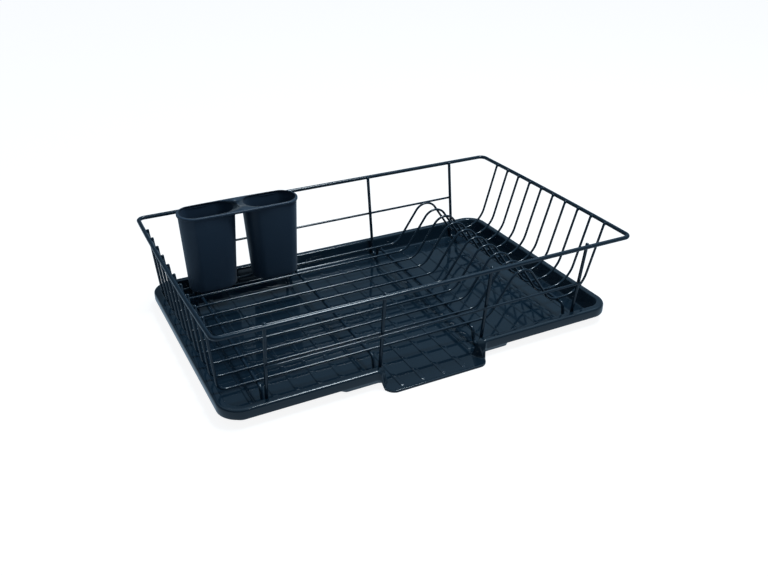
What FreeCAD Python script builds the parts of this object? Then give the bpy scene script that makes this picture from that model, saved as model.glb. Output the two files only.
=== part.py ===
import FreeCAD, Part
import math
import os
import Sketcher

# Dish drying rack: a wire basket standing in a shallow drain tray, with a
# twin utensil holder standing on the basket's floor wires.
# Frame: X along the rack, Y towards the back, Z up, origin on the table
# under the middle of the rack.

os.makedirs("parts", exist_ok=True)
doc = FreeCAD.newDocument("DishRack")
V = FreeCAD.Vector

# ---------------------------------------------------------------- sizes
SIZES = {
    # basket rim
    "rim_wire_d": 4.7,
    "rim_mid_x": 1.4,
    "rim_half_len": 240.0,
    "rim_half_wid": 149.0,
    "rim_height": 106.6,
    "rim_corner_r": 8.0,
    "rim_end_bow": 2.2,
    # cross frames, which carry the feet
    "frame_wire_d": 3.8,
    "frame_first": -187.0,
    "frame_pitch": 123.0,
    "frame_floor_z": 20.6,
    "foot_z": 4.5,
    "foot_out_y": 131.6,
    "foot_in_y": 119.5,
    "foot_lean": 3.0,
    "tip_above_rim": 1.5,
    # long wires, which carry the plates
    "long_wire_d": 2.9,
    "long_pitch": 24.2,
    "left_foot_x": 227.0,
    "right_foot_x": 212.4,
    "left_bend_r": 10.0,
    "right_bend_r": 32.0,
    "hump_mid_x": 126.0,
    "hump_half_base": 42.0,
    "hump_rise": 62.0,
    "hump_top_r": 17.0,
    "hump_foot_r": 20.0,
    # side rails
    "rail_d": 2.8,
    "rail_z": 58.6,
    "rail_overhang": 1.5,
    # drain tray
    "tray_mid_x": -2.0,
    "tray_half_len": 232.5,
    "tray_half_wid": 146.8,
    "tray_corner_r": 25.0,
    "lip_top_z": 21.4,
    "lip_depth": 11.0,
    "lip_width": 8.5,
    "lip_skin": 2.4,
    "wall_slope": 4.3,
    "tray_floor_z": 2.4,
    "foot_rim": 0.0,
    "lip_round": 3.0,
    "mouth_round": 1.6,
    "skirt_mid_x": -7.0,
    "skirt_half_len": 99.0,
    "skirt_y": 138.0,
    "spout_mid_x": -7.4,
    "spout_root_w": 127.0,
    "spout_tip_w": 112.0,
    "spout_y": 161.5,
    "spout_wall": 2.0,
    "spout_tip_lip": 0.6,
    "rib_w": 6.0,
    "rib_h": 0.8,
    "rib_shift": 3.0,
    # utensil holder
    "holder_x": -129.0,
    "holder_y": 103.0,
    "holder_z": 25.6,
    "holder_h": 96.2,
    "cup_spacing": 75.9,
    "cup_top_len": 66.4,
    "cup_top_wid": 42.0,
    "cup_low_len": 56.5,
    "cup_low_wid": 37.0,
    "cup_low_shift": 0.9,
    "cup_skin": 1.8,
    "collar_w": 1.2,
    "collar_h": 3.0,
    "drain_hole_r": 2.5,
}
sheet = doc.addObject("Spreadsheet::Sheet", "Sizes")
for row, (name, value) in enumerate(SIZES.items(), start=1):
    sheet.set("A%d" % row, name)
    sheet.set("B%d" % row, str(value))
    sheet.setAlias("B%d" % row, name)
doc.recompute()


def size(name):
    return float(SIZES[name])


def ref(text):
    """Turn every size name in an expression into a reference to the sheet."""
    words = sorted(SIZES, key=len, reverse=True)
    out = ""
    pos = 0
    while pos < len(text):
        for word in words:
            if text.startswith(word, pos):
                out += "Sizes." + word
                pos += len(word)
                break
        else:
            out += text[pos]
            pos += 1
    return out


def value_of(text):
    """The number that an expression in size names stands for."""
    probe = doc.getObject("Probe") or doc.addObject("App::FeaturePython", "Probe")
    if "Value" not in probe.PropertiesList:
        probe.addProperty("App::PropertyFloat", "Value")
    probe.setExpression("Value", ref(text))
    doc.recompute([probe])
    return probe.Value


def plane_of(body, role):
    """One of the body's own origin planes."""
    return [f for f in body.Origin.OriginFeatures if f.Role == role][0]


def add_sketch(body, name, role="XY_Plane", height=None):
    """A sketch on an origin plane of the body, lifted along the plane's normal."""
    sketch = body.newObject("Sketcher::SketchObject", name)
    sketch.AttachmentSupport = (plane_of(body, role), [""])
    sketch.MapMode = "FlatFace"
    if height is not None:
        sketch.setExpression("AttachmentOffset.Base.z", ref(height))
    return sketch


def bind(sketch, constraint, text):
    """Add a dimension and tie it to the sheet."""
    index = sketch.addConstraint(constraint)
    sketch.setExpression("Constraints[%d]" % index, ref(text))
    return index


def bent_path(sketch, corners, radii):
    """Straight runs joined by tangent bends; corners are (x, y) expressions."""
    pts = [V(value_of(x), value_of(y), 0) for x, y in corners]
    bends = []
    for i in range(1, len(pts) - 1):
        to_prev = (pts[i - 1] - pts[i]).normalize()
        to_next = (pts[i + 1] - pts[i]).normalize()
        half = to_prev.getAngle(to_next) / 2
        radius = value_of(radii[i - 1])
        reach = radius / math.tan(half)
        centre = pts[i] + (to_prev + to_next).normalize() * (radius / math.sin(half))
        start = pts[i] + to_prev * reach
        end = pts[i] + to_next * reach
        bends.append((start, end, centre, radius))
    lines = []
    arcs = []
    turns = []
    for i in range(len(pts) - 1):
        a = pts[i] if i == 0 else bends[i - 1][1]
        b = pts[i + 1] if i == len(pts) - 2 else bends[i][0]
        lines.append(sketch.addGeometry(Part.LineSegment(a, b), False))
    for start, end, centre, radius in bends:
        a0 = math.atan2(start.y - centre.y, start.x - centre.x)
        a1 = math.atan2(end.y - centre.y, end.x - centre.x)
        ccw = (a1 - a0) % (2 * math.pi) < math.pi
        if not ccw:
            a0, a1 = a1, a0
        circle = Part.Circle(centre, V(0, 0, 1), radius)
        arcs.append(sketch.addGeometry(Part.ArcOfCircle(circle, a0, a1), False))
        turns.append(ccw)
    for i, arc in enumerate(arcs):
        first, last = (1, 2) if turns[i] else (2, 1)
        sketch.addConstraint(Sketcher.Constraint("Tangent", lines[i], 2, arc, first))
        sketch.addConstraint(Sketcher.Constraint("Tangent", arc, last, lines[i + 1], 1))
        corner = sketch.addGeometry(Part.Point(pts[i + 1]), True)
        sketch.addConstraint(Sketcher.Constraint("PointOnObject", corner, 1, lines[i]))
        sketch.addConstraint(Sketcher.Constraint("PointOnObject", corner, 1, lines[i + 1]))
        bind(sketch, Sketcher.Constraint("Radius", arc, bends[i][3]), radii[i])
        place_point(sketch, corner, 1, pts[i + 1], corners[i + 1])
    place_point(sketch, lines[0], 1, pts[0], corners[0])
    place_point(sketch, lines[-1], 2, pts[-1], corners[-1])


def place_point(sketch, geo, which, point, texts):
    """Fix a point at signed distances from the sketch origin."""
    x_dim = Sketcher.Constraint("DistanceX", -1, 1, geo, which, point.x)
    y_dim = Sketcher.Constraint("DistanceY", -1, 1, geo, which, point.y)
    bind(sketch, x_dim, texts[0])
    bind(sketch, y_dim, texts[1])


def bent_wire(name, role, offset, corners, radii, diameter):
    """A round wire swept along a bent path in one plane."""
    body = doc.addObject("PartDesign::Body", name)
    path = add_sketch(body, name + "_path", role, offset)
    bent_path(path, corners, radii)
    ring = body.newObject("Sketcher::SketchObject", name + "_ring")
    doc.recompute()
    ring.AttachmentSupport = [(path, "Edge1")]
    ring.MapMode = "NormalToEdge"
    ring.MapPathParameter = 0.0
    round_wire = Part.Circle(V(0, 0, 0), V(0, 0, 1), value_of(diameter) / 2)
    circle = ring.addGeometry(round_wire, False)
    ring.addConstraint(Sketcher.Constraint("Coincident", circle, 3, -1, 1))
    bind(ring, Sketcher.Constraint("Diameter", circle, value_of(diameter)), diameter)
    pipe = body.newObject("PartDesign::AdditivePipe", name + "_sweep")
    pipe.Profile = ring
    pipe.Spine = (path, [])
    pipe.Mode = "Frenet"
    doc.recompute()
    return body


def fix_rect(sketch, half_x, half_y, radius, mid_x="0", mid_y="0"):
    """A rounded rectangle about a point, all of it tied to the sheet."""
    a, b, r = value_of(half_x), value_of(half_y), value_of(radius)
    cx, cy = value_of(mid_x), value_of(mid_y)
    lines = []
    arcs = []
    ends = [
        (V(cx - a + r, cy - b, 0), V(cx + a - r, cy - b, 0)),
        (V(cx + a, cy - b + r, 0), V(cx + a, cy + b - r, 0)),
        (V(cx + a - r, cy + b, 0), V(cx - a + r, cy + b, 0)),
        (V(cx - a, cy + b - r, 0), V(cx - a, cy - b + r, 0)),
    ]
    for start, end in ends:
        lines.append(sketch.addGeometry(Part.LineSegment(start, end), False))
    for i, (sx, sy) in enumerate(((1, -1), (1, 1), (-1, 1), (-1, -1))):
        centre = V(cx + sx * (a - r), cy + sy * (b - r), 0)
        turn = -math.pi / 2 + i * math.pi / 2
        circle = Part.Circle(centre, V(0, 0, 1), r)
        arc = Part.ArcOfCircle(circle, turn, turn + math.pi / 2)
        arcs.append(sketch.addGeometry(arc, False))
    for i in range(4):
        after = lines[(i + 1) % 4]
        sketch.addConstraint(Sketcher.Constraint("Tangent", lines[i], 2, arcs[i], 1))
        sketch.addConstraint(Sketcher.Constraint("Tangent", arcs[i], 2, after, 1))
    for i in (1, 2, 3):
        sketch.addConstraint(Sketcher.Constraint("Equal", arcs[0], arcs[i]))
    sketch.addConstraint(Sketcher.Constraint("Horizontal", lines[0]))
    sketch.addConstraint(Sketcher.Constraint("Vertical", lines[1]))
    sketch.addConstraint(Sketcher.Constraint("Horizontal", lines[2]))
    bind(sketch, Sketcher.Constraint("Radius", arcs[0], r), radius)
    bind(sketch, Sketcher.Constraint("DistanceX", -1, 1, lines[1], 1, cx + a),
         "%s + %s" % (mid_x, half_x))
    bind(sketch, Sketcher.Constraint("DistanceX", -1, 1, lines[3], 1, cx - a),
         "%s - (%s)" % (mid_x, half_x))
    bind(sketch, Sketcher.Constraint("DistanceY", -1, 1, lines[2], 1, cy + b),
         "%s + %s" % (mid_y, half_y))
    bind(sketch, Sketcher.Constraint("DistanceY", -1, 1, lines[0], 1, cy - b),
         "%s - (%s)" % (mid_y, half_y))


def rounded(body, name, half_x, half_y, radius, height=None, mid_x="0", mid_y="0"):
    sketch = add_sketch(body, name, "XY_Plane", height)
    fix_rect(sketch, half_x, half_y, radius, mid_x, mid_y)
    return sketch


def loft(body, name, kind, low, high):
    feature = body.newObject("PartDesign::" + kind, name)
    feature.Profile = low
    feature.Sections = [high]
    feature.Ruled = True
    doc.recompute()
    return feature


def pad(body, name, sketch, length):
    feature = body.newObject("PartDesign::Pad", name)
    feature.Profile = sketch
    feature.setExpression("Length", ref(length))
    doc.recompute()
    return feature


def pocket(body, name, sketch, length, upward=False):
    """Cut away from the sketch, downwards unless told otherwise."""
    feature = body.newObject("PartDesign::Pocket", name)
    feature.Profile = sketch
    feature.setExpression("Length", ref(length))
    feature.Reversed = upward
    doc.recompute()
    return feature


def round_edges(body, name, height, radius, reach="outline"):
    """Round the closed loop of edges at a height: the outer one or the mouth."""
    z = value_of(height)
    limit = value_of("tray_half_len - lip_width / 2")
    wide = value_of("tray_half_wid - lip_width / 2")
    mid = value_of("tray_mid_x")
    picked = []
    for i, edge in enumerate(body.Shape.Edges, start=1):
        box = edge.BoundBox
        if abs(box.ZMin - z) > 0.01 or abs(box.ZMax - z) > 0.01:
            continue
        outside = max(abs(box.XMin - mid), abs(box.XMax - mid)) > limit
        outside = outside or max(abs(box.YMin), abs(box.YMax)) > wide
        if outside == (reach == "outline"):
            picked.append("Edge%d" % i)
    rounded_part = body.Tip
    fillet = body.newObject("PartDesign::Fillet", name)
    fillet.Base = (rounded_part, picked)
    fillet.setExpression("Radius", ref(radius))
    doc.recompute()
    return fillet


# ---------------------------------------------------------------- basket rim
rim = doc.addObject("PartDesign::Body", "top_rim")
rim_path = add_sketch(rim, "rim_path", "XY_Plane", "rim_height")
mid_x = size("rim_mid_x")
half_len = size("rim_half_len")
half_wid = size("rim_half_wid")
corner_r = size("rim_corner_r")
BOW_R = "((rim_half_wid ^ 2 + rim_end_bow ^ 2) / (2 * rim_end_bow))"
bow_r = value_of(BOW_R)
bow_x = half_len - bow_r
# where a corner bend meets the bowed end
corner_x = bow_x + math.sqrt((bow_r - corner_r) ** 2 - (half_wid - corner_r) ** 2)
swing = math.atan2(half_wid - corner_r, corner_x - bow_x)
north = Part.LineSegment(V(corner_x, half_wid, 0), V(-corner_x, half_wid, 0))
south = Part.LineSegment(V(-corner_x, -half_wid, 0), V(corner_x, -half_wid, 0))


def arc_about(x, y, radius, a0, a1):
    return Part.ArcOfCircle(Part.Circle(V(x, y, 0), V(0, 0, 1), radius), a0, a1)


inset_y = half_wid - corner_r
rim_geo = [
    south,
    arc_about(corner_x, -inset_y, corner_r, -math.pi / 2, -swing),
    arc_about(bow_x, 0, bow_r, -swing, swing),
    arc_about(corner_x, inset_y, corner_r, swing, math.pi / 2),
    north,
    arc_about(-corner_x, inset_y, corner_r, math.pi / 2, math.pi - swing),
    arc_about(-bow_x, 0, bow_r, math.pi - swing, math.pi + swing),
    arc_about(-corner_x, -inset_y, corner_r, math.pi + swing, 1.5 * math.pi),
]
for geo in rim_geo:
    geo.translate(V(mid_x, 0, 0))
    rim_path.addGeometry(geo, False)
for i in range(8):
    rim_path.addConstraint(Sketcher.Constraint("Tangent", i, 2, (i + 1) % 8, 1))
rim_path.addConstraint(Sketcher.Constraint("Horizontal", 0))
rim_path.addConstraint(Sketcher.Constraint("Horizontal", 4))
for i in (3, 5, 7):
    rim_path.addConstraint(Sketcher.Constraint("Equal", 1, i))
bind(rim_path, Sketcher.Constraint("Radius", 1, corner_r), "rim_corner_r")
for i, sign in ((2, ""), (6, "-")):
    rim_path.addConstraint(Sketcher.Constraint("PointOnObject", i, 3, -1))
    bind(rim_path, Sketcher.Constraint("Radius", i, bow_r), BOW_R)
    centre_x = mid_x + (bow_x if sign == "" else -bow_x)
    bind(rim_path, Sketcher.Constraint("DistanceX", -1, 1, i, 3, centre_x),
         "rim_mid_x + %s(rim_half_len - %s)" % (sign, BOW_R))
bind(rim_path, Sketcher.Constraint("DistanceY", -1, 1, 4, 1, half_wid), "rim_half_wid")
bind(rim_path, Sketcher.Constraint("DistanceY", -1, 1, 0, 1, -half_wid), "-rim_half_wid")
rim_ring = add_sketch(rim, "rim_ring", "YZ_Plane")
wire = Part.Circle(V(-half_wid, size("rim_height"), 0), V(0, 0, 1), size("rim_wire_d") / 2)
circle = rim_ring.addGeometry(wire, False)
place_point(rim_ring, circle, 3, wire.Center, ("-rim_half_wid", "rim_height"))
bind(rim_ring, Sketcher.Constraint("Diameter", circle, size("rim_wire_d")), "rim_wire_d")
rim_sweep = rim.newObject("PartDesign::AdditivePipe", "rim_sweep")
rim_sweep.Profile = rim_ring
rim_sweep.Spine = (rim_path, [])
rim_sweep.Mode = "Frenet"
doc.recompute()

# ------------------------------------------------------------- cross frames
INNER = "(rim_half_wid - rim_wire_d / 2 - frame_wire_d / 2 + 0.05)"
TIP = "(rim_height + tip_above_rim)"
FRAME_CORNERS = [
    (INNER, TIP),
    ("foot_out_y", "foot_z"),
    ("foot_in_y", "foot_z"),
    ("(foot_in_y - foot_lean)", "frame_floor_z"),
]
frame_corners = [("-" + y, z) for y, z in FRAME_CORNERS]
frame_corners += [(y, z) for y, z in reversed(FRAME_CORNERS)]
for n in range(4):
    bent_wire("transverse_frame_%d" % (n + 1), "YZ_Plane",
              "frame_first + %d * frame_pitch" % n,
              frame_corners, ["6", "5", "5", "5", "5", "6"], "frame_wire_d")

# --------------------------------------------------------------- long wires
END_X = "(rim_half_len - rim_wire_d / 2 - long_wire_d / 2 - %s)"
FLOOR_Z = "(frame_floor_z + frame_wire_d / 2 + long_wire_d / 2 - 0.05)"
BEND_RADII = ["left_bend_r", "hump_foot_r", "hump_top_r", "hump_foot_r", "right_bend_r"]
for n in range(10):
    steps = 4.5 - n
    # the rim's ends are bowed, so each wire reaches its own part of the bow
    bow_gap = "(rim_end_bow * (%g * long_pitch / rim_half_wid) ^ 2 - 0.05)" % steps
    end_x = END_X % bow_gap
    corners = [
        ("(rim_mid_x - %s)" % end_x, TIP),
        ("-left_foot_x", FLOOR_Z),
        ("(hump_mid_x - hump_half_base)", FLOOR_Z),
        ("hump_mid_x", "(%s + hump_rise)" % FLOOR_Z),
        ("(hump_mid_x + hump_half_base)", FLOOR_Z),
        ("right_foot_x", FLOOR_Z),
        ("(rim_mid_x + %s)" % end_x, TIP),
    ]
    bent_wire("long_wire_%02d" % (n + 1), "XZ_Plane",
              "-(%g * long_pitch)" % steps, corners, BEND_RADII, "long_wire_d")

# --------------------------------------------------------------- side rails
# the frames' legs lean in, so the rails lie against them at their own height
LEG_RUN = "((%s - foot_out_y) / (%s - foot_z))" % (INNER, TIP)
LEG_Y = "(foot_out_y + %s * (rail_z - foot_z))" % LEG_RUN
RAIL_Y = "(%s + (frame_wire_d / 2 + rail_d / 2 - 0.05) * sqrt(1 + %s ^ 2))" % (LEG_Y, LEG_RUN)
for name, sign in (("side_rail_front", "-"), ("side_rail_back", "")):
    rail = doc.addObject("PartDesign::Body", name)
    ring = add_sketch(rail, name + "_ring", "YZ_Plane", "frame_first - rail_overhang")
    centre = V(value_of(sign + RAIL_Y), size("rail_z"), 0)
    circle = ring.addGeometry(Part.Circle(centre, V(0, 0, 1), size("rail_d") / 2), False)
    place_point(ring, circle, 3, centre, (sign + RAIL_Y, "rail_z"))
    bind(ring, Sketcher.Constraint("Diameter", circle, size("rail_d")), "rail_d")
    pad(rail, name + "_rod", ring, "3 * frame_pitch + 2 * rail_overhang")

# --------------------------------------------------------------- drain tray
tray = doc.addObject("PartDesign::Body", "drain_tray")
FLOOR_X = "(tray_half_len - lip_width - wall_slope)"
FLOOR_Y = "(tray_half_wid - lip_width - wall_slope)"
FLOOR_R = "(tray_corner_r - lip_width - 2)"
base = rounded(tray, "base_outline", "(%s + foot_rim)" % FLOOR_X,
               "(%s + foot_rim)" % FLOOR_Y, "(%s + foot_rim)" % FLOOR_R, None, "tray_mid_x")
top = rounded(tray, "wall_top_outline", "(tray_half_len - lip_width + lip_skin)",
              "(tray_half_wid - lip_width + lip_skin)",
              "(tray_corner_r - lip_width + lip_skin)", "lip_top_z", "tray_mid_x")
loft(tray, "outer_shell", "AdditiveLoft", base, top)
lip = rounded(tray, "lip_outline", "tray_half_len", "tray_half_wid", "tray_corner_r",
              "(lip_top_z - lip_depth)", "tray_mid_x")
pad(tray, "lip_block", lip, "lip_depth")
groove = rounded(tray, "groove_outer", "(tray_half_len - lip_skin)",
                 "(tray_half_wid - lip_skin)", "(tray_corner_r - lip_skin)",
                 "(lip_top_z - lip_depth)", "tray_mid_x")
fix_rect(groove, "(tray_half_len - lip_width + lip_skin)",
         "(tray_half_wid - lip_width + lip_skin)", "(tray_corner_r - lip_width + lip_skin)",
         "tray_mid_x")
pocket(tray, "lip_groove", groove, "(lip_depth - lip_skin)", upward=True)
round_edges(tray, "lip_rounding", "lip_top_z", "lip_round")

# behind the spout the tray's wall stands out under the lip
skirt = add_sketch(tray, "skirt_outline", "XY_Plane")
fix_rect(skirt, "skirt_half_len", "15", "6", "skirt_mid_x", "-(skirt_y - 15)")
pad(tray, "skirt_block", skirt, "(lip_top_z - lip_skin)")

# the spout is a tongue of the floor that runs out under the front lip
TONGUE = [
    ("(spout_mid_x - spout_root_w / 2)", "-(tray_half_wid - lip_width - 2)"),
    ("(spout_mid_x - spout_tip_w / 2)", "-spout_y"),
    ("(spout_mid_x + spout_tip_w / 2)", "-spout_y"),
    ("(spout_mid_x + spout_root_w / 2)", "-(tray_half_wid - lip_width - 2)"),
]


def tongue_loop(sketch, shrink, back, radius, ahead):
    """A tapered, round-cornered loop; shrink and ahead are expressions in mm."""
    corners = [
        ("(%s + %s)" % (TONGUE[0][0], shrink), back),
        ("(%s + %s)" % (TONGUE[1][0], shrink), "(-spout_y + %s)" % ahead),
        ("(%s - %s)" % (TONGUE[2][0], shrink), "(-spout_y + %s)" % ahead),
        ("(%s - %s)" % (TONGUE[3][0], shrink), back),
    ]
    bent_path(sketch, corners, [radius, radius])
    first = sketch.GeometryCount
    ends = [V(value_of(x), value_of(y), 0) for x, y in (corners[0], corners[3])]
    sketch.addGeometry(Part.LineSegment(ends[1], ends[0]), False)
    sketch.addConstraint(Sketcher.Constraint("Coincident", first, 1, 2, 2))
    sketch.addConstraint(Sketcher.Constraint("Coincident", first, 2, 0, 1))


BACK = "-(tray_half_wid - lip_width - 2)"
tongue = add_sketch(tray, "spout_outline", "XY_Plane")
tongue_loop(tongue, "0", BACK, "6", "0")
pad(tray, "spout_block", tongue, "lip_top_z")

# hollow of the tray, down to the floor
floor = rounded(tray, "floor_outline", FLOOR_X, FLOOR_Y, FLOOR_R, "tray_floor_z",
                "tray_mid_x")
mouth = rounded(tray, "mouth_outline", "(tray_half_len - lip_width)",
                "(tray_half_wid - lip_width)", "(tray_corner_r - lip_width)", "lip_top_z",
                "tray_mid_x")
loft(tray, "basin", "SubtractiveLoft", floor, mouth)
round_edges(tray, "mouth_rounding", "lip_top_z", "mouth_round", reach="mouth")
channel = add_sketch(tray, "channel_outline", "XY_Plane", "tray_floor_z")
tongue_loop(channel, "spout_wall", "-(tray_half_wid - lip_width - wall_slope - 2)", "4.5",
            "spout_wall")
pocket(tray, "spout_channel", channel, "lip_top_z", upward=True)

# the spout's walls come down from the lip to a low edge at the tip
slope = add_sketch(tray, "spout_slope", "YZ_Plane", "spout_mid_x")
LOW_EDGE = "(tray_floor_z + spout_tip_lip)"
bent = [
    ("-(tray_half_wid - 4)", "(lip_top_z + 1)"),
    ("-(tray_half_wid + 1.5)", LOW_EDGE),
    ("-(spout_y + 5)", LOW_EDGE),
]
bent_path(slope, bent, ["4"])
slope_pts = [V(value_of(x), value_of(y), 0) for x, y in (bent[0], bent[2])]
far = V(slope_pts[1].x, slope_pts[0].y, 0)
count = slope.GeometryCount
slope.addGeometry(Part.LineSegment(slope_pts[1], far), False)
slope.addGeometry(Part.LineSegment(far, slope_pts[0]), False)
slope.addConstraint(Sketcher.Constraint("Coincident", count, 1, 1, 2))
slope.addConstraint(Sketcher.Constraint("Coincident", count, 2, count + 1, 1))
slope.addConstraint(Sketcher.Constraint("Coincident", count + 1, 2, 0, 1))
slope.addConstraint(Sketcher.Constraint("Vertical", count))
slope.addConstraint(Sketcher.Constraint("Horizontal", count + 1))
trim = tray.newObject("PartDesign::Pocket", "spout_trim")
trim.Profile = slope
trim.Midplane = True
trim.setExpression("Length", ref("spout_root_w + 2"))
doc.recompute()

# low ribs on the floor carry the water to the front; they stand between the
# basket's feet, five to each gap between cross frames
RIB_PITCH = "(frame_pitch / 5)"
FIRST_RIB_X = "(frame_first - frame_pitch / 10 + rib_shift)"


def rib_row(name, start_x, low_y, high_y, count):
    """A row of round-ended ribs, the same distance apart."""
    rib = add_sketch(tray, name + "_outline", "XY_Plane", "(tray_floor_z - 0.2)")
    fix_rect(rib, "(rib_w / 2)", "((%s - %s) / 2)" % (high_y, low_y), "(rib_w / 2 - 0.1)",
             start_x, "((%s + %s) / 2)" % (high_y, low_y))
    first = pad(tray, name + "_first", rib, "(rib_h + 0.2)")
    row = tray.newObject("PartDesign::LinearPattern", name)
    row.Originals = [first]
    row.Direction = (plane_of(tray, "X_Axis"), [""])
    row.setExpression("Length", ref("%d * %s" % (count - 1, RIB_PITCH)))
    row.Occurrences = count
    tray.Tip = row
    doc.recompute()


rib_row("floor_ribs", FIRST_RIB_X, "(6 - %s)" % FLOOR_Y, "(%s - 6)" % FLOOR_Y, 17)
rib_row("spout_ribs", "(%s + 6 * %s)" % (FIRST_RIB_X, RIB_PITCH), "(6 - spout_y)",
        "(20 - %s)" % FLOOR_Y, 4)

# ----------------------------------------------------------- utensil holder
holder = doc.addObject("PartDesign::Body", "utensil_holder")
HOLDER_TOP = "(holder_z + holder_h)"
COLLAR_X = "(cup_spacing / 2 + cup_top_len / 2 + collar_w)"
COLLAR_Y = "(cup_top_wid / 2 + collar_w)"
collar = rounded(holder, "collar_outline", COLLAR_X, COLLAR_Y, "(%s - 0.1)" % COLLAR_Y,
                 "(%s - collar_h)" % HOLDER_TOP, "holder_x", "holder_y")
pad(holder, "collar", collar, "collar_h")
for side, name in ((-1, "left"), (1, "right")):
    mid_top = "(holder_x + %d * cup_spacing / 2)" % side
    mid_low = "(holder_x + %d * (cup_spacing / 2 + cup_low_shift))" % side
    low = rounded(holder, name + "_cup_foot", "(cup_low_len / 2)", "(cup_low_wid / 2)",
                  "(cup_low_wid / 2 - 0.6)", "holder_z", mid_low, "holder_y")
    high = rounded(holder, name + "_cup_top", "(cup_top_len / 2)", "(cup_top_wid / 2)",
                   "(cup_top_wid / 2 - 0.6)", HOLDER_TOP, mid_top, "holder_y")
    loft(holder, name + "_cup", "AdditiveLoft", low, high)
for side, name in ((-1, "left"), (1, "right")):
    mid_top = "(holder_x + %d * cup_spacing / 2)" % side
    mid_low = "(holder_x + %d * (cup_spacing / 2 + cup_low_shift))" % side
    low = rounded(holder, name + "_hollow_foot", "(cup_low_len / 2 - cup_skin)",
                  "(cup_low_wid / 2 - cup_skin)", "(cup_low_wid / 2 - cup_skin - 0.6)",
                  "(holder_z + cup_skin)", mid_low, "holder_y")
    high = rounded(holder, name + "_hollow_top", "(cup_top_len / 2 - cup_skin)",
                   "(cup_top_wid / 2 - cup_skin)", "(cup_top_wid / 2 - cup_skin - 0.6)",
                   HOLDER_TOP, mid_top, "holder_y")
    loft(holder, name + "_hollow", "SubtractiveLoft", low, high)

# hollow under the collar between the cups is left solid only as a thin bridge
recess = add_sketch(holder, "bridge_recess", "XY_Plane", "(%s - collar_h)" % HOLDER_TOP)
fix_rect(recess, "(cup_spacing / 2 - cup_top_len / 2 - 0.5)", "(cup_top_wid / 2 - 4)", "2",
         "holder_x", "holder_y")
pocket(holder, "bridge_underside", recess, "(collar_h - 1.8)", upward=True)

# drain holes through the cup floors
drains = add_sketch(holder, "drain_outline", "XY_Plane", "(holder_z + cup_skin + 1)")
for side in (-1, 1):
    for dx, dy in ((-12, -7), (12, -7), (12, 7), (-12, 7), (0, 0)):
        texts = ("(holder_x + %d * (cup_spacing / 2 + cup_low_shift) + %d)" % (side, dx),
                 "(holder_y + %d)" % dy)
        point = V(value_of(texts[0]), value_of(texts[1]), 0)
        hole = Part.Circle(point, V(0, 0, 1), size("drain_hole_r"))
        index = drains.addGeometry(hole, False)
        place_point(drains, index, 3, point, texts)
        radius = Sketcher.Constraint("Radius", index, size("drain_hole_r"))
        bind(drains, radius, "drain_hole_r")
pocket(holder, "drain_holes", drains, "(cup_skin + 2)")

# ------------------------------------------------------------------- output
doc.recompute()
bodies = [o for o in doc.Objects if o.TypeId == "PartDesign::Body"]
for obj in doc.Objects:
    bad = [s for s in obj.State if s in ("Invalid", "Error")]
    if bad:
        raise SystemExit("%s is %s" % (obj.Name, bad))
for body in bodies:
    shape = body.Shape
    if shape.isNull() or not shape.isValid() or len(shape.Solids) != 1:
        raise SystemExit("%s has a bad shape (%d solids)" % (body.Name, len(shape.Solids)))
    box = shape.BoundBox
    print("%-20s vol %9.1f  x %7.1f %7.1f  y %7.1f %7.1f  z %6.1f %6.1f" % (
        body.Name, shape.Volume, box.XMin, box.XMax, box.YMin, box.YMax, box.ZMin, box.ZMax))
    shape.exportStep("parts/%s.step" % body.Name)
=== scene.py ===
import math
import random

import bmesh
import bpy
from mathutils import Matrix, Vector

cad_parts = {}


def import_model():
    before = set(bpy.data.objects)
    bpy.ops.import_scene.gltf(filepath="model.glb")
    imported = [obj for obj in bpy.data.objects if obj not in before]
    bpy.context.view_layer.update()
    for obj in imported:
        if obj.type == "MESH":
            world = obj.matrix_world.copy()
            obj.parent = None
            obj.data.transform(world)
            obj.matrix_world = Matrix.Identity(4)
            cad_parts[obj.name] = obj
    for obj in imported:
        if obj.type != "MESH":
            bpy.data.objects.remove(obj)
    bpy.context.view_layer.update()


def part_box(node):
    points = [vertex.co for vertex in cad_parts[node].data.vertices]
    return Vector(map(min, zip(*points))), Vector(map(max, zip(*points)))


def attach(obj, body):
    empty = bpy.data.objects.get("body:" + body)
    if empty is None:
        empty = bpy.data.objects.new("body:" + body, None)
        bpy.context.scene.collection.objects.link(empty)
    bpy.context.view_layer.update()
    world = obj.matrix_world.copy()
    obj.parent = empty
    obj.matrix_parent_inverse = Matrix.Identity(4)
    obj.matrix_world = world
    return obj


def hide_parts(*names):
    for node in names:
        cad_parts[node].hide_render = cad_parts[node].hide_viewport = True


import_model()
MM = 0.001


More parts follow.
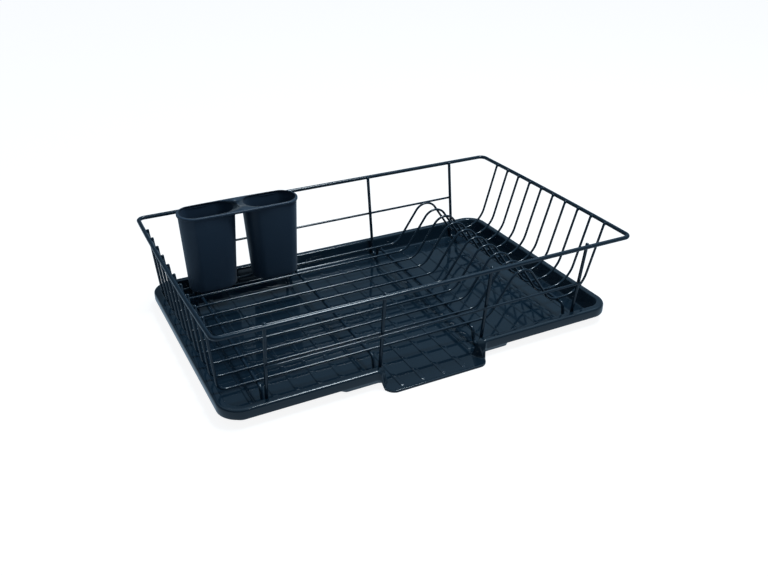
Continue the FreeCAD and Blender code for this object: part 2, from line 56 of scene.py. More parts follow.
# ------------------------------------------------------------ node helpers
class Mat:
    """A node material with short calls for the few nodes used here."""

    def __init__(self, name):
        self.mat = bpy.data.materials.new(name)
        self.mat.use_nodes = True
        self.tree = self.mat.node_tree
        self.shader = self.tree.nodes["Principled BSDF"]
        self.coord = self.add("ShaderNodeTexCoord").outputs["Object"]

    def add(self, kind, **props):
        node = self.tree.nodes.new(kind)
        for key, value in props.items():
            setattr(node, key, value)
        return node

    def link(self, out, into):
        self.tree.links.new(out, into)

    def noise(self, scale, detail=3.0, rough=0.5, stretch=(1, 1, 1), distortion=0.0):
        mapping = self.add("ShaderNodeMapping")
        mapping.inputs["Scale"].default_value = stretch
        self.link(self.coord, mapping.inputs["Vector"])
        node = self.add("ShaderNodeTexNoise")
        node.inputs["Scale"].default_value = scale
        node.inputs["Detail"].default_value = detail
        node.inputs["Roughness"].default_value = rough
        node.inputs["Distortion"].default_value = distortion
        self.link(mapping.outputs["Vector"], node.inputs["Vector"])
        return node.outputs["Fac"]

    def ramp(self, fac, stops):
        node = self.add("ShaderNodeValToRGB")
        ramp = node.color_ramp
        while len(ramp.elements) < len(stops):
            ramp.elements.new(0.5)
        for element, (pos, colour) in zip(ramp.elements, stops):
            element.position = pos
            element.color = (*colour, 1) if len(colour) == 3 else colour
        self.link(fac, node.inputs["Fac"])
        return node.outputs["Color"]

    def span(self, fac, low, high, a=0.0, b=1.0):
        """Map a factor from a..b to low..high."""
        node = self.add("ShaderNodeMapRange")
        node.inputs["From Min"].default_value = a
        node.inputs["From Max"].default_value = b
        node.inputs["To Min"].default_value = low
        node.inputs["To Max"].default_value = high
        self.link(fac, node.inputs["Value"])
        return node.outputs["Result"]

    def mix(self, fac, a, b):
        node = self.add("ShaderNodeMix", data_type="RGBA")
        for value, socket in ((a, node.inputs["A"]), (b, node.inputs["B"])):
            if isinstance(value, tuple):
                socket.default_value = (*value, 1)
            else:
                self.link(value, socket)
        self.link(fac, node.inputs["Factor"])
        return node.outputs["Result"]

    def sums(self, a, b, operation="ADD"):
        node = self.add("ShaderNodeMath", operation=operation)
        for value, socket in ((a, node.inputs[0]), (b, node.inputs[1])):
            if isinstance(value, (int, float)):
                socket.default_value = value
            else:
                self.link(value, socket)
        return node.outputs["Value"]

    def bump(self, height, strength, distance, before=None):
        node = self.add("ShaderNodeBump")
        node.inputs["Strength"].default_value = strength
        node.inputs["Distance"].default_value = distance
        self.link(height, node.inputs["Height"])
        if before is not None:
            self.link(before, node.inputs["Normal"])
        return node.outputs["Normal"]

    def edges(self, sharp=0.5, wide=0.6):
        """1 on convex edges, 0 on flats: the mask for the painted edge sheen."""
        geo = self.add("ShaderNodeNewGeometry")
        return self.span(geo.outputs["Pointiness"], 0, 1, sharp, wide)

    def set(self, **values):
        for key, value in values.items():
            socket = self.shader.inputs[key.replace("_", " ")]
            if isinstance(value, bpy.types.NodeSocket):
                self.link(value, socket)
            elif isinstance(value, tuple) and len(value) == 3:
                socket.default_value = (*value, 1)
            else:
                socket.default_value = value


def coated_wire():
    """Dark navy dipped coating on steel wire: smooth, slightly wavy, glossy."""
    m = Mat("coated_wire")
    mottle = m.noise(60, 4)
    fine = m.noise(420, 3)
    drips = m.noise(38, 2, stretch=(1, 1, 0.5))
    colour = m.ramp(mottle, [(0.3, (0.006, 0.017, 0.030)), (0.7, (0.009, 0.023, 0.039))])
    # painted sheen: convex edges tinted towards pale blue, standing in for the coating's Fresnel edge
    # reflection
    colour = m.mix(m.span(m.edges(0.5, 0.62), 0, 0.35), colour, (0.03, 0.055, 0.08))
    rough = m.sums(m.span(fine, 0.11, 0.18), m.span(mottle, -0.02, 0.03))
    wavy = m.bump(drips, 0.12, 0.0005)
    normal = m.bump(fine, 0.06, 0.0001, wavy)
    m.set(Base_Color=colour, Roughness=rough, Normal=normal, Coat_Weight=0.25,
          Coat_Roughness=0.12, IOR=1.5, Specular_IOR_Level=0.5)
    return m.mat


def tray_plastic():
    """Very glossy moulded plastic with faint flow marks and hairline wear."""
    m = Mat("tray_plastic")
    cloud = m.noise(9, 3)
    flow = m.noise(5, 4, stretch=(1, 3.5, 1), distortion=1.2)
    fine = m.noise(900, 2)
    scratch = m.noise(1400, 2, 0.6, stretch=(0.02, 1, 1))
    colour = m.ramp(cloud, [(0.3, (0.0075, 0.0185, 0.0305)), (0.7, (0.0095, 0.0225, 0.0365))])
    # painted sheen: convex edges tinted lighter, standing in for the glossy plastic's edge reflection,
    # which shows as a light line round the lip
    colour = m.mix(m.span(m.edges(0.5, 0.58), 0, 0.3), colour, (0.03, 0.045, 0.06))
    rough = m.sums(m.span(flow, 0.05, 0.085), m.span(scratch, 0.0, 0.05, 0.62, 0.8))
    ripple = m.bump(flow, 0.05, 0.0012)
    normal = m.bump(fine, 0.02, 0.0001, ripple)
    m.set(Base_Color=colour, Roughness=rough, Normal=normal, IOR=1.52,
          Coat_Weight=0.4, Coat_Roughness=0.04)
    return m.mat


def holder_plastic():
    """Fine spark-textured matt plastic."""
    m = Mat("holder_plastic")
    cloud = m.noise(14, 3)
    grain = m.noise(1900, 3, 0.65)
    flow = m.noise(7, 3, stretch=(1, 1, 0.25), distortion=0.8)
    colour = m.ramp(cloud, [(0.3, (0.023, 0.045, 0.077)), (0.7, (0.028, 0.054, 0.090))])
    # painted highlight: convex edges tinted lighter, standing in for the highlight lines round the cup
    # mouths and the bridge
    colour = m.mix(m.span(m.edges(0.5, 0.6), 0, 0.4), colour, (0.035, 0.05, 0.068))
    rough = m.sums(m.span(grain, 0.36, 0.5), m.span(flow, -0.03, 0.03))
    soft = m.bump(flow, 0.06, 0.001)
    normal = m.bump(grain, 0.22, 0.00012, soft)
    m.set(Base_Color=colour, Roughness=rough, Normal=normal, IOR=1.5,
          Sheen_Weight=0.12, Sheen_Roughness=0.4, Coat_Weight=0.08, Coat_Roughness=0.35)
    return m.mat


WIRE = coated_wire()
TRAY = tray_plastic()
HOLDER = holder_plastic()


# -------------------------------------------------------------- mesh tools
def new_object(name, bm, mat, body, nodes):
    mesh = bpy.data.meshes.new(name)
    bmesh.ops.recalc_face_normals(bm, faces=bm.faces)
    bm.to_mesh(mesh)
    bm.free()
    for poly in mesh.polygons:
        poly.use_smooth = True
    mesh.materials.append(mat)
    obj = bpy.data.objects.new(name, mesh)
    bpy.context.scene.collection.objects.link(obj)
    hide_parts(*nodes)
    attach(obj, body)
    return obj


def bridge(bm, rings, closed=True):
    """Quads between successive rings of the same number of points."""
    for a, b in zip(rings, rings[1:]):
        n = len(a)
        for i in range(n if closed else n - 1):
            j = (i + 1) % n
            bm.faces.new((a[i], a[j], b[j], b[i]))


def bent(corners, radii, step=0.0025):
    """Points along straight runs joined by tangent bends, closely spaced in the bends."""
    corners = [Vector(c) for c in corners]
    out = [corners[0]]
    for i in range(1, len(corners) - 1):
        p = corners[i]
        u = (corners[i - 1] - p).normalized()
        v = (corners[i + 1] - p).normalized()
        half = u.angle(v) / 2
        radius = radii[i - 1]
        reach = radius / math.tan(half)
        centre = p + (u + v).normalized() * (radius / math.sin(half))
        start = p + u * reach - centre
        end = p + v * reach - centre
        turn = start.angle(end)
        count = max(4, int(radius * turn / step))
        for k in range(count + 1):
            f = k / count
            w0 = math.sin((1 - f) * turn) / math.sin(turn)
            w1 = math.sin(f * turn) / math.sin(turn)
            out.append(centre + start * w0 + end * w1)
    out.append(corners[-1])
    return out


def divide(points, longest=0.012):
    """Add points so that no run is longer than this."""
    out = [points[0]]
    for a, b in zip(points, points[1:]):
        parts = max(1, int(math.ceil((b - a).length / longest)))
        out += [a.lerp(b, k / parts) for k in range(1, parts + 1)]
    return out


def tube(bm, points, radius, sides=20, closed=False, seed=0):
    """A round wire along points, with domed ends and a faintly uneven coating."""
    rng = random.Random(seed)
    phase = [rng.uniform(0, 6.28) for _ in range(3)]
    n = len(points)
    tangents = []
    for i in range(n):
        before = points[i - 1] if (i > 0 or closed) else points[i]
        after = points[(i + 1) % n] if (i < n - 1 or closed) else points[i]
        tangents.append((after - before).normalized())
    side = tangents[0].orthogonal().normalized()
    rings = []
    run = 0.0
    frames = []
    for i in range(n):
        side = (side - tangents[i] * side.dot(tangents[i])).normalized()
        frames.append((points[i], side, tangents[i].cross(side)))
    for i, (centre, e1, e2) in enumerate(frames):
        if i:
            run += (points[i] - points[i - 1]).length
        swell = 0.0 if closed else 0.006 * math.sin(run * 160 + phase[0])
        swell += 0.0 if closed else 0.005 * math.sin(run * 70 + phase[1])
        r = radius * (1 + swell)
        ring = []
        for k in range(sides):
            a = 2 * math.pi * k / sides
            ring.append(bm.verts.new(centre + (e1 * math.cos(a) + e2 * math.sin(a)) * r))
        rings.append(ring)
    if closed:
        bridge(bm, rings + [rings[0]])
        return
    bridge(bm, rings)
    for ring, (centre, e1, e2), way in ((rings[0], frames[0], -1), (rings[-1], frames[-1], 1)):
        axis = e1.cross(e2) * way
        last = ring
        for step in (0.45, 0.8):
            cap = []
            for k in range(sides):
                a = 2 * math.pi * k / sides
                flat = (e1 * math.cos(a) + e2 * math.sin(a)) * radius * math.cos(step * 1.571)
                rise = axis * radius * 0.55 * (math.sin(step * 1.571))
                cap.append(bm.verts.new(centre + flat + rise))
            bridge(bm, [last, cap])
            last = cap
        tip = bm.verts.new(centre + axis * radius * 0.56)
        for k in range(sides):
            bm.faces.new((last[k], last[(k + 1) % sides], tip))


def weld(bm, a, b, dir_a, dir_b, ra, rb):
    """Coating gathered in the nook where two crossing wires are welded.

    a and b are the points on the two centre lines that are nearest."""
    across = (b - a).normalized()
    mid = a + across * ra
    u = dir_a.normalized()
    v = dir_b.normalized()
    rings = []
    sides, rows = 20, 7
    for i in range(1, rows):
        t = math.pi * i / rows
        ring = []
        for k in range(sides):
            p = 2 * math.pi * k / sides
            flat = u * math.cos(p) * rb * 0.98 + v * math.sin(p) * ra * 0.98
            rise = across * math.cos(t) * min(ra, rb) * 0.62
            ring.append(bm.verts.new(mid + flat * math.sin(t) + rise))
        rings.append(ring)
    bridge(bm, rings)
    for ring, way in ((rings[0], 1), (rings[-1], -1)):
        tip = bm.verts.new(mid + across * way * min(ra, rb) * 0.62)
        for k in range(sides):
            bm.faces.new((ring[k], ring[(k + 1) % sides], tip))


# ------------------------------------------------------------- wire basket
def middle(node):
    lo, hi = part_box(node)
    return (lo + hi) / 2


RIM_LO, RIM_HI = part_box("top_rim")
RIM_R = (RIM_HI.z - RIM_LO.z) / 2
RIM_Z = (RIM_HI.z + RIM_LO.z) / 2
RIM_MID = (RIM_HI.x + RIM_LO.x) / 2
RIM_X = (RIM_HI.x - RIM_LO.x) / 2 - RIM_R
RIM_Y = RIM_HI.y - RIM_R
RIM_CORNER = 8 * MM
RIM_BOW = 2.2 * MM
# how far welded wires run into each other, and how far their tips pass the rim's centre
BITE = 0.05 * MM
TIP_RISE = 1.5 * MM
FRAME_LO, FRAME_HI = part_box("transverse_frame_1")
FRAME_R = (FRAME_HI.x - FRAME_LO.x) / 2
FOOT_Z = FRAME_LO.z + FRAME_R
WIRE_LO, WIRE_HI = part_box("long_wire_05")
WIRE_R = (WIRE_HI.y - WIRE_LO.y) / 2
TIP_Z = RIM_Z + TIP_RISE
FLOOR_WIRE_Z = WIRE_LO.z + WIRE_R
FRAME_RUN_Z = FLOOR_WIRE_Z - WIRE_R - FRAME_R + BITE
FRAME_X = [middle("transverse_frame_%d" % n).x for n in range(1, 5)]
WIRE_Y = [middle("long_wire_%02d" % n).y for n in range(1, 11)]
INNER_Y = RIM_Y - RIM_R - FRAME_R + BITE
FOOT_OUT, FOOT_IN, FOOT_LEAN = 131.6 * MM, 119.5 * MM, 3 * MM
HUMP_X, HUMP_HALF, HUMP_RISE = 126 * MM, 42 * MM, 62 * MM
LEFT_FOOT, RIGHT_FOOT = 227 * MM, 212.4 * MM
FRAME_BENDS = [r * MM for r in (6, 5, 5, 5, 5, 6)]
WIRE_BENDS = [r * MM for r in (10, 20, 17, 20, 32)]


def end_x(y):
    """How far from the rim's middle a long wire's ends are, inside its bowed ends."""
    bow = RIM_BOW * (y / RIM_Y) ** 2
    return RIM_X - RIM_R - WIRE_R - bow + BITE


def rim_points():
    bow_r = (RIM_Y ** 2 + RIM_BOW ** 2) / (2 * RIM_BOW)
    bow_x = RIM_X - bow_r
    inset = RIM_Y - RIM_CORNER
    corner_x = bow_x + math.sqrt((bow_r - RIM_CORNER) ** 2 - inset ** 2)
    swing = math.atan2(inset, corner_x - bow_x)
    quarter = []
    for k in range(13):
        a = swing + (math.pi / 2 - swing) * k / 12
        quarter.append((corner_x + RIM_CORNER * math.cos(a), inset + RIM_CORNER * math.sin(a)))
    side = []
    for k in range(-14, 15):
        a = swing * k / 15
        side.append((bow_x + bow_r * math.cos(a), bow_r * math.sin(a)))
    right = [(x, -y) for x, y in reversed(quarter)] + side + quarter
    left = [(-x, -y) for x, y in right]
    top = [(corner_x * (1 - k / 15), RIM_Y) for k in range(1, 30)]
    bottom = [(-x, -y) for x, y in top]
    return [Vector((x + RIM_MID, y, RIM_Z)) for x, y in right + top + left + bottom]


def frame_points(x):
    half = [(INNER_Y, TIP_Z), (FOOT_OUT, FOOT_Z), (FOOT_IN, FOOT_Z),
            (FOOT_IN - FOOT_LEAN, FRAME_RUN_Z)]
    corners = [(x, -y, z) for y, z in half] + [(x, y, z) for y, z in reversed(half)]
    return divide(bent(corners, FRAME_BENDS, 0.0012))


def wire_points(y):
    x = end_x(y)
    z = FLOOR_WIRE_Z
    corners = [(RIM_MID - x, y, TIP_Z), (-LEFT_FOOT, y, z), (HUMP_X - HUMP_HALF, y, z),
               (HUMP_X, y, z + HUMP_RISE), (HUMP_X + HUMP_HALF, y, z),
               (RIGHT_FOOT, y, z), (RIM_MID + x, y, TIP_Z)]
    return divide(bent(corners, WIRE_BENDS, 0.002))


SIDES = 22
bm = bmesh.new()
tube(bm, rim_points(), RIM_R, SIDES + 8, closed=True)
new_object("Rim", bm, WIRE, "basket", ["top_rim"])

leg_lean = (INNER_Y - FOOT_OUT) / (TIP_Z - FOOT_Z)
RAIL_Z = middle("side_rail_back").z
RAIL_Y = middle("side_rail_back").y
RAIL_R = (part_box("side_rail_back")[1].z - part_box("side_rail_back")[0].z) / 2
for n, x in enumerate(FRAME_X):
    bm = bmesh.new()
    tube(bm, frame_points(x), FRAME_R, SIDES, seed=n)
    for side in (-1, 1):
        # the leg's end against the rim, and the side rail across the leg
        leg = Vector((0, side * leg_lean, 1)).normalized()
        at_rim = Vector((x, side * INNER_Y, RIM_Z))
        weld(bm, at_rim, Vector((x, side * RIM_Y, RIM_Z)), leg, Vector((1, 0, 0)),
             FRAME_R, RIM_R)
        leg_y = FOOT_OUT + leg_lean * (RAIL_Z - FOOT_Z)
        weld(bm, Vector((x, side * leg_y, RAIL_Z)), Vector((x, side * RAIL_Y, RAIL_Z)),
             leg, Vector((1, 0, 0)), FRAME_R, RAIL_R)
    new_object("CrossFrame_%d" % (n + 1), bm, WIRE, "basket",
               ["transverse_frame_%d" % (n + 1)])
for n, y in enumerate(WIRE_Y):
    bm = bmesh.new()
    tube(bm, wire_points(y), WIRE_R, SIDES, seed=20 + n)
    for x in FRAME_X:
        weld(bm, Vector((x, y, FLOOR_WIRE_Z)), Vector((x, y, FRAME_RUN_Z)),
             Vector((1, 0, 0)), Vector((0, 1, 0)), WIRE_R, FRAME_R)
    for side, foot in ((-1, LEFT_FOOT), (1, RIGHT_FOOT)):
        x = end_x(y)
        slant = Vector((RIM_MID + side * (x - foot), 0, TIP_Z - FLOOR_WIRE_Z)).normalized()
        top = Vector((RIM_MID + side * x, y, RIM_Z))
        out = Vector((RIM_MID + side * (x + WIRE_R + RIM_R), y, RIM_Z))
        weld(bm, top, out, slant, Vector((0, 1, 0)), WIRE_R, RIM_R)
    new_object("LongWire_%02d" % (n + 1), bm, WIRE, "basket",
               ["long_wire_%02d" % (n + 1)])
for n, name in enumerate(("side_rail_front", "side_rail_back")):
    lo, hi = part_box(name)
    mid = (lo + hi) / 2
    r = (hi.z - lo.z) / 2
    ends = [Vector((lo.x + r * 0.5, mid.y, mid.z)), Vector((hi.x - r * 0.5, mid.y, mid.z))]
    bm = bmesh.new()
    tube(bm, divide(ends), r, SIDES, seed=40 + n)
    new_object("SideRail_" + name[10:], bm, WIRE, "basket", [name])


# --------------------------------------------------------------- drain tray
TRAY_LO, TRAY_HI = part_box("drain_tray")
T_MID = (TRAY_HI.x + TRAY_LO.x) / 2
T_X = (TRAY_HI.x - TRAY_LO.x) / 2
T_Y = TRAY_HI.y
SPOUT_Y = -TRAY_LO.y
SPOUT_X = -7.4 * MM
# the spout's half width where it leaves the tray, and what it loses by its tip, in millimetres
SPOUT_HALF, SPOUT_TAPER = 63.5, 7.5
# how far the lip takes to come down to the spout's low edge
LIP_FADE = 5.5 * MM
FLOOR_Z = 2.4 * MM
CORNER = 25 * MM


def box_sdf(x, y, hx, hy, r):
    qx = abs(x) - hx + r
    qy = abs(y) - hy + r
    return math.hypot(max(qx, 0), max(qy, 0)) + min(max(qx, qy), 0) - r


def tray_sdf(x, y):
    """Distance from the plan outline: negative inside. The spout flows out of the front."""
    plate = box_sdf(x - T_MID, y, T_X, T_Y, CORNER)
    # the tongue narrows towards its tip
    reach = (-y - T_Y) / (SPOUT_Y - T_Y)
    half = (SPOUT_HALF - SPOUT_TAPER * max(0.0, min(1.0, reach))) * MM
    tongue = box_sdf(x - SPOUT_X, y + SPOUT_Y - 30 * MM, half, 30 * MM, 6 * MM)
    k = 2.5 * MM
    h = max(0.0, min(1.0, 0.5 + 0.5 * (plate - tongue) / k))
    return plate * (1 - h) + tongue * h - k * h * (1 - h)


def sdf_normal(f, x, y):
    e = 0.02 * MM
    gx = f(x + e, y) - f(x - e, y)
    gy = f(x, y + e) - f(x, y - e)
    size = math.hypot(gx, gy) or 1
    return gx / size, gy / size


def settle(f, x, y, level=0.0):
    """Move a point on to the outline, or on to a loop inside it."""
    for _ in range(12):
        nx, ny = sdf_normal(f, x, y)
        d = f(x, y) - level
        x -= nx * d
        y -= ny * d
    return x, y


def outline_loop(step):
    """Points round the tray's plan, evenly spaced, from the middle of the back."""
    pts = []
    x, y = settle(tray_sdf, 0.0, T_Y)
    start = (x, y)
    for i in range(20000):
        pts.append((x, y))
        nx, ny = sdf_normal(tray_sdf, x, y)
        x, y = settle(tray_sdf, x - ny * step, y + nx * step)
        if i > 50 and math.hypot(x - start[0], y - start[1]) < step * 0.75:
            break
    return pts


def smooth(t):
    t = max(0.0, min(1.0, t))
    return t * t * (3 - 2 * t)


def arc(cx, cz, r, a0, a1, count):
    out = []
    for k in range(count + 1):
        a = math.radians(a0 + (a1 - a0) * k / count)
        out.append((cx + r * math.cos(a), cz + r * math.sin(a)))
    return out


# the lip's section, from the floor, over the top and under to the base:
# (distance in from the outline, height), in millimetres
LIP = [(17.8, 2.4), (15.2, 2.4)]
LIP += arc(14.4, 4.4, 2.0, 260, 192.75, 4)
LIP += [(11.53, 8.0), (10.4, 13.0), (9.27, 18.0)]
LIP += arc(7.22, 19.8, 1.6, 12.75, 90, 5)
LIP += [(5.8, 21.4), (4.4, 21.4)]
LIP += arc(3.0, 18.4, 3.0, 90, 180, 6)
LIP += [(0.0, 16.5), (0.0, 11.2), (0.15, 10.62), (0.5, 10.4), (1.6, 10.4), (2.1, 10.55), (2.4, 11.0)]
LIP += [(2.4, 18.2), (3.0, 19.0), (5.5, 19.0), (6.1, 18.4)]
LIP += [(6.4, 10.9), (9.3, 10.2), (12.4, 1.0), (13.8, 0.0)]
# the last four points beside the spout, where the wall stands out further
SKIRT = [(6.4, 11.0), (8.2, 10.3), (8.8, 1.0), (9.8, 0.0)]
SKIRT_X, SKIRT_HALF = -7 * MM, 99 * MM
# the same points where the spout has only a low edge
LOW = [(6.2, 2.4), (5.4, 2.4), (5.0, 2.4), (4.6, 2.4), (4.2, 2.41), (3.8, 2.43), (3.45, 2.46),
       (3.1, 2.5), (2.8, 2.56), (2.5, 2.63), (2.3, 2.7), (2.1, 2.77), (1.9, 2.84), (1.7, 2.9),
       (1.5, 2.95), (1.3, 2.98), (1.1, 3.0), (0.9, 3.0), (0.75, 2.98), (0.58, 2.93), (0.42, 2.85),
       (0.28, 2.74), (0.16, 2.6), (0.07, 2.42), (0.0, 2.2), (0.0, 2.0), (0.0, 1.8), (0.0, 1.6),
       (0.0, 1.45), (0.0, 1.3), (0.0, 1.15), (0.0, 1.0), (0.0, 0.85), (0.04, 0.7), (0.1, 0.55),
       (0.2, 0.4), (0.35, 0.26), (0.6, 0.12), (0.9, 0.04), (1.3, 0.0)]


def build_tray():
    bm = bmesh.new()
    loop = outline_loop(1.3 * MM)
    rings = [[] for _ in LIP]
    for x, y in loop:
        nx, ny = sdf_normal(tray_sdf, x, y)
        # how much of the spout this point is: none on the lip, all at the tip
        past = (-T_Y - y) / LIP_FADE
        w = smooth(past)
        beside = smooth((SKIRT_HALF + 3 * MM - abs(x - SKIRT_X)) / (6 * MM))
        beside *= 1.0 if ny < -0.7 else 0.0
        section = LIP[:-4]
        for (d0, z0), (d1, z1) in zip(LIP[-4:], SKIRT):
            section.append((d0 + (d1 - d0) * beside, z0 + (z1 - z0) * beside))
        for ring, (d0, z0), (d1, z1) in zip(rings, section, LOW):
            d = (d0 * (1 - w) + d1 * w) * MM
            z = (z0 * (1 - w) + z1 * w) * MM
            px, py = x - nx * d, y - ny * d
            if d > 2.5 * MM:
                px, py = settle(tray_sdf, px, py, -d)
            ring.append(bm.verts.new((px, py, z)))
    bridge(bm, rings)
    bm.faces.new(rings[0])
    bm.faces.new(list(reversed(rings[-1])))
    add_ribs(bm)
    return bm


RIB_FIRST = FRAME_X[0] - 9.3 * MM
RIB_PITCH = 24.6 * MM
RIB_END = 128 * MM
RIB_HALF, RIB_HEIGHT = 3.2 * MM, 0.78 * MM
RIB_COUNT = 17
SPOUT_RIBS = range(6, 10)


def add_ribs(bm):
    """Low flat ribs whose sides run smoothly into the floor."""
    for k in range(RIB_COUNT):
        front = -SPOUT_Y + 6 * MM if k in SPOUT_RIBS else -RIB_END
        ridge(bm, RIB_FIRST + RIB_PITCH * k, front, RIB_END, RIB_HALF, RIB_HEIGHT)


def ridge(bm, x, y0, y1, half, height):
    shape = [(1.0, 0.0), (0.94, 0.06), (0.88, 0.3), (0.8, 0.7), (0.73, 0.94), (0.66, 1.0), (0.33, 1.0)]
    shape = [(-u, r) for u, r in shape] + [(0.0, 1.0)] + list(reversed(shape))
    lengths = [0, 0.3, 0.7, 1.2, 1.8, 2.6, 3.5]
    n = 24
    ys = [y0 + v * MM for v in lengths]
    ys += [y0 + (y1 - y0) * i / n for i in range(1, n)]
    ys += [y1 - v * MM for v in reversed(lengths)]
    rows = []
    for y in ys:
        near = min(1.0, min(y - y0, y1 - y) / (3.5 * MM))
        narrow = 0.2 + 0.8 * math.sqrt(1 - (1 - near) ** 2)
        rise = smooth(near * 2.5)
        row = []
        for u, r in shape:
            z = FLOOR_Z + 0.02 * MM + height * rise * r
            row.append(bm.verts.new((x + half * narrow * u, y, z)))
        rows.append(row)
    bridge(bm, rows, closed=False)


new_object("DrainTray", build_tray(), TRAY, "tray", ["drain_tray"])


# ----------------------------------------------------------- utensil holder
H_LO, H_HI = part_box("utensil_holder")
H_MID = (H_LO + H_HI) / 2
CUP_STEP = 75.9 * MM / 2
CUP_LEAN = 0.9 * MM
CUP_SKIN = 1.8 * MM
COLLAR_H = 3 * MM
FOOT_ROUND = 2.5 * MM
DRAIN_R = 2.5 * MM


def stadium(cx, cy, hx, hy, count=96):
    """Points round an oval with straight sides."""
    r = hy - 0.6 * MM
    pts = []
    for k in range(count):
        a = 2 * math.pi * k / count
        c, s = math.cos(a), math.sin(a)
        # blend the round ends slowly into the straight sides
        px = r * c + math.copysign(hx - r, c) * min(1.0, abs(c) * 3.2)
        pts.append((cx + px, cy + hy * s))
    return pts


def cup_section(t):
    """Half length and half width of a cup's outside at a height from 0 to 1."""
    return (28.25 + 4.95 * t) * MM, (18.5 + 2.5 * t) * MM


def cup_ring(bm, side, z, inset):
    t = (z - H_LO.z) / (H_HI.z - H_LO.z)
    hx, hy = cup_section(t)
    cx = H_MID.x + side * (CUP_STEP + CUP_LEAN * (1 - t))
    pts = stadium(cx, H_MID.y, hx - inset, hy - inset)
    return [bm.verts.new((x, y, z)) for x, y in pts]


def build_holder():
    bm = bmesh.new()
    z0, z1 = H_LO.z, H_HI.z
    skin = CUP_SKIN
    collar = z1 - COLLAR_H
    hole_rings = []
    for side in (-1, 1):
        # outside, from the foot's rounding up to the collar
        outer = []
        for a in (0, 15, 30, 45, 60, 75, 90):
            s = 1 - math.sin(math.radians(a))
            c = 1 - math.cos(math.radians(a))
            outer.append(cup_ring(bm, side, z0 + FOOT_ROUND * c, FOOT_ROUND * s))
        for k in range(1, 13):
            z = z0 + FOOT_ROUND + (collar - z0 - FOOT_ROUND) * k / 12
            outer.append(cup_ring(bm, side, z, 0))
        outer.append(cup_ring(bm, side, collar + 1.2 * MM, 0))
        bridge(bm, outer)
        # inside, from the mouth's rounding down to the floor's corner
        inner = []
        for a in (90, 72, 54, 36, 18, 0):
            s = 1 - math.sin(math.radians(a))
            c = math.cos(math.radians(a))
            inner.append(cup_ring(bm, side, z1 - 0.9 * MM * s, skin - 0.9 * MM * c))
        hole_rings.append(inner[0])
        for k in range(1, 13):
            z = z1 - 0.9 * MM - (z1 - z0 - skin - 4.9 * MM) * k / 12
            inner.append(cup_ring(bm, side, z, skin))
        for a in (15, 30, 45, 60, 75, 90):
            s = 1 - math.cos(math.radians(a))
            c = 1 - math.sin(math.radians(a))
            inner.append(cup_ring(bm, side, z0 + skin + 4 * MM * c, skin + 4 * MM * s))
        bridge(bm, inner)
        drains(bm, side, inner[-1], outer[0])
    # the collar: one band round both cups
    hx = (H_HI.x - H_LO.x) / 2
    hy = (H_HI.y - H_LO.y) / 2

    def collar_ring(z, inset):
        pts = stadium(H_MID.x, H_MID.y, hx - inset, hy - inset, 168)
        return [bm.verts.new((x, y, z)) for x, y in pts]

    band = [collar_ring(collar, 2.6 * MM)]
    band.append(collar_ring(collar, 0.5 * MM))
    band.append(collar_ring(collar + 0.15 * MM, 0.15 * MM))
    band.append(collar_ring(collar + 0.5 * MM, 0))
    band.append(collar_ring(z1 - 1.0 * MM, 0))
    for a in (18, 36, 54, 72, 90):
        s = math.sin(math.radians(a))
        c = 1 - math.cos(math.radians(a))
        band.append(collar_ring(z1 - 1.0 * MM + 1.0 * MM * s, 1.0 * MM * c))
    bridge(bm, band)
    fill_between(bm, band[-1], hole_rings)
    return bm


def ring_edges(bm, ring):
    edges = []
    for i, v in enumerate(ring):
        w = ring[(i + 1) % len(ring)]
        edge = bm.edges.get((v, w)) or bm.edges.new((v, w))
        edges.append(edge)
    return edges


def fill_between(bm, outer, holes):
    edges = ring_edges(bm, outer)
    for ring in holes:
        edges += ring_edges(bm, ring)
    bmesh.ops.triangle_fill(bm, edges=edges, use_beauty=True, use_dissolve=False)


def drains(bm, side, floor_ring, foot_ring):
    """The cup's floor, inside and out, with drain holes through it."""
    top, low = [], []
    z_top, z_low = floor_ring[0].co.z, foot_ring[0].co.z
    cx = H_MID.x + side * (CUP_STEP + CUP_LEAN)
    for dx, dy in ((-12, -7), (12, -7), (12, 7), (-12, 7), (0, 0)):
        a_ring, b_ring = [], []
        for k in range(20):
            a = 2 * math.pi * k / 20
            x = cx + dx * MM + DRAIN_R * math.cos(a)
            y = H_MID.y + dy * MM + DRAIN_R * math.sin(a)
            a_ring.append(bm.verts.new((x, y, z_top)))
            b_ring.append(bm.verts.new((x, y, z_low)))
        bridge(bm, [a_ring, b_ring])
        top.append(a_ring)
        low.append(b_ring)
    fill_between(bm, floor_ring, top)
    fill_between(bm, foot_ring, low)


new_object("UtensilHolder", build_holder(), HOLDER, "holder",
           ["utensil_holder"])


# --------------------------------------------------- floor, light and camera
def seen_or_lit(tree, seen, lit):
    """One shader for what the camera sees directly and one for the light it sends on."""
    path = tree.nodes.new("ShaderNodeLightPath")
    mix = tree.nodes.new("ShaderNodeMixShader")
    tree.links.new(path.outputs["Is Camera Ray"], mix.inputs[0])
    tree.links.new(lit, mix.inputs[1])
    tree.links.new(seen, mix.inputs[2])
    return mix.outputs[0]


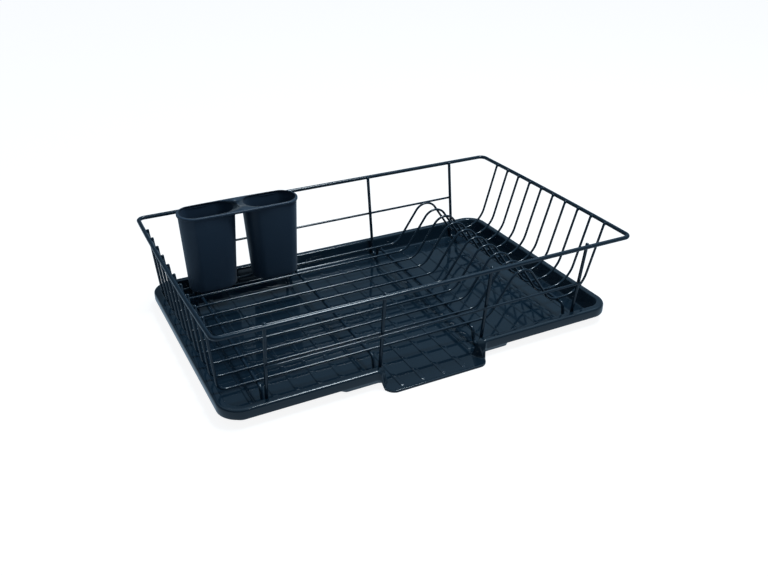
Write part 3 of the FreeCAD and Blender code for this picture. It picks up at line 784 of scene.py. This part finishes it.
def floor():
    """Nearly white to the camera. To other rays a dimmer bluish glow."""
    mesh = bpy.data.meshes.new("Floor")
    s = 6.0
    mesh.from_pydata([(-s, -s, 0), (s, -s, 0), (s, s, 0), (-s, s, 0)], [], [(0, 1, 2, 3)])
    obj = bpy.data.objects.new("Floor", mesh)
    bpy.context.scene.collection.objects.link(obj)
    mat = bpy.data.materials.new("pale_floor")
    mat.use_nodes = True
    tree = mat.node_tree
    shader = tree.nodes["Principled BSDF"]
    shader.inputs["Base Color"].default_value = (0.25, 0.25, 0.25, 1)
    shader.inputs["Roughness"].default_value = 0.9
    shader.inputs["Specular IOR Level"].default_value = 0.0
    glow = tree.nodes.new("ShaderNodeEmission")
    glow.inputs["Strength"].default_value = 0.9
    both = tree.nodes.new("ShaderNodeAddShader")
    tree.links.new(shader.outputs[0], both.inputs[0])
    tree.links.new(glow.outputs[0], both.inputs[1])
    bounce = tree.nodes.new("ShaderNodeEmission")
    bounce.inputs["Color"].default_value = (0.55, 0.78, 1.0, 1)
    bounce.inputs["Strength"].default_value = 0.42
    surface = seen_or_lit(tree, both.outputs[0], bounce.outputs[0])
    tree.links.new(surface, tree.nodes["Material Output"].inputs["Surface"])
    mesh.materials.append(mat)


def area_light(name, place, aim, size, power, colour):
    data = bpy.data.lights.new(name, "AREA")
    data.shape = "RECTANGLE"
    data.size, data.size_y = size
    data.energy = power
    data.color = colour
    obj = bpy.data.objects.new(name, data)
    obj.location = place
    way = Vector(aim) - Vector(place)
    obj.rotation_euler = way.to_track_quat("-Z", "Y").to_euler()
    bpy.context.scene.collection.objects.link(obj)


def world():
    """White to the camera. To other rays a bluish sky, weakest low on the front left."""
    w = bpy.data.worlds.new("Studio")
    w.use_nodes = True
    bpy.context.scene.world = w
    tree = w.node_tree
    coord = tree.nodes.new("ShaderNodeTexCoord")
    parts = tree.nodes.new("ShaderNodeSeparateXYZ")
    tree.links.new(coord.outputs["Generated"], parts.inputs[0])

    def blend(value, a, b, low, high):
        node = tree.nodes.new("ShaderNodeMapRange")
        node.interpolation_type = "SMOOTHSTEP"
        for name, number in (("From Min", a), ("From Max", b), ("To Min", low), ("To Max", high)):
            node.inputs[name].default_value = number
        tree.links.new(value, node.inputs["Value"])
        return node.outputs["Result"]

    height = blend(parts.outputs["Z"], 0.52, 0.97, 0.22, 1.2)
    depth = blend(parts.outputs["Y"], -0.35, 0.45, 0.68, 1.0)
    side = blend(parts.outputs["X"], 0.0, 0.6, 0.5, 1.1)
    strength = height
    for factor in (depth, side):
        times = tree.nodes.new("ShaderNodeMath")
        times.operation = "MULTIPLY"
        tree.links.new(strength, times.inputs[0])
        tree.links.new(factor, times.inputs[1])
        strength = times.outputs[0]
    lit = tree.nodes["Background"]
    lit.inputs["Color"].default_value = (0.5, 0.76, 1.0, 1)
    tree.links.new(strength, lit.inputs["Strength"])
    seen = tree.nodes.new("ShaderNodeBackground")
    seen.inputs["Color"].default_value = (1, 1, 1, 1)
    surface = seen_or_lit(tree, seen.outputs[0], lit.outputs[0])
    tree.links.new(surface, tree.nodes["World Output"].inputs["Surface"])


def camera():
    data = bpy.data.cameras.new("Camera")
    data.sensor_width = 36
    data.lens = 38.4
    data.clip_start = 0.01
    obj = bpy.data.objects.new("Camera", data)
    azimuth, elevation = math.radians(-27.07), math.radians(28.4)
    back = Vector((math.sin(azimuth) * math.cos(elevation),
                   -math.cos(azimuth) * math.cos(elevation), math.sin(elevation)))
    obj.location = (-0.3798, -0.7601, RIM_Z + 0.3816)
    obj.rotation_euler = (-back).to_track_quat("-Z", "Y").to_euler()
    bpy.context.scene.collection.objects.link(obj)
    bpy.context.scene.camera = obj


floor()
world()
area_light("Softbox", (0.4, -0.2, 1.55), (0, 0, 0), (0.44, 0.4), 15,
           (0.8, 0.92, 1.0))
camera()
bpy.context.scene.view_settings.view_transform = "Standard"
bpy.context.scene.view_settings.look = "None"
